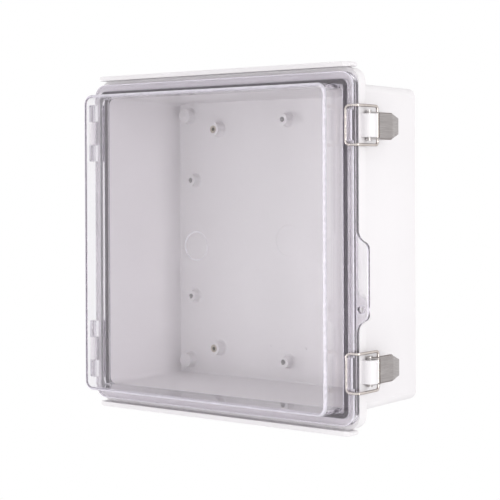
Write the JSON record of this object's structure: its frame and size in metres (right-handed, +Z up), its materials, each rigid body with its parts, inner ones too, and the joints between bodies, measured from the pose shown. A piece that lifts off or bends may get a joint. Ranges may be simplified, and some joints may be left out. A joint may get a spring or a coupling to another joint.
{
  "type": "hinged electrical enclosure",
  "caption": "Square light-grey wall enclosure with a clear domed door, hinged at the left and closed by wire-bail draw latches at the right",
  "frame": {"origin": "centre of the back face, in the plane that lies on the wall, at the middle of the four wall-screw holes", "axes": "+Z up, -Y towards the door and the viewer, +Y into the wall, +X to the right of someone facing the door (hinges at -X, latches at +X)"},
  "size_m": [0.3003, 0.1325, 0.295],
  "materials": {
    "grey_plastic": "satin",
    "clear_plastic": "clear polished",
    "seal_rubber": "matte",
    "steel": "plain drawn",
    "steel_sheet": "brushed",
    "steel_wire": "polished wire",
    "insert_brass": "turned"
  },
  "bodies": {
    "base": {"base": "grey_plastic", "upper_hinge_pin": "steel", "lower_hinge_pin": "steel", "upper_latch_pin": "steel", "lower_latch_pin": "steel", "upper_left_insert": "insert_brass", "upper_right_insert": "insert_brass", "lower_left_insert": "insert_brass", "lower_right_insert": "insert_brass"},
    "door": {"door": "clear_plastic", "gasket": "seal_rubber"},
    "upper_lever": {"upper_latch_lever": "steel_sheet"},
    "lower_lever": {"lower_latch_lever": "steel_sheet"},
    "upper_bail": {"upper_latch_bail": "steel_wire"},
    "lower_bail": {"lower_latch_bail": "steel_wire"}
  },
  "joints": [
    {"name": "door_hinge", "type": "hinge", "parent": "base", "child": "door", "pos_m": [-0.1453, -0.1035, 0], "axis": [0, 0, -1], "range_deg": [0, 180]},
    {"name": "upper_lever_pivot", "type": "hinge", "parent": "base", "child": "upper_lever", "pos_m": [0.1432, -0.0907, 0.0972], "axis": [0, 0, -1], "range_deg": [0, 120]},
    {"name": "upper_bail_pivot", "type": "hinge", "parent": "upper_lever", "child": "upper_bail", "pos_m": [0.1452, -0.0814, 0.0972], "axis": [0, 0, 1], "range_deg": [0, 245]},
    {"name": "lower_lever_pivot", "type": "hinge", "parent": "base", "child": "lower_lever", "pos_m": [0.1432, -0.0907, -0.0972], "axis": [0, 0, -1], "range_deg": [0, 120]},
    {"name": "lower_bail_pivot", "type": "hinge", "parent": "lower_lever", "child": "lower_bail", "pos_m": [0.1452, -0.0814, -0.0972], "axis": [0, 0, 1], "range_deg": [0, 245]}
  ],
  "couplings": [
    {"joint": "upper_bail_pivot", "follows": "upper_lever_pivot", "ratio": 2},
    {"joint": "lower_bail_pivot", "follows": "lower_lever_pivot", "ratio": 2}
  ]
}
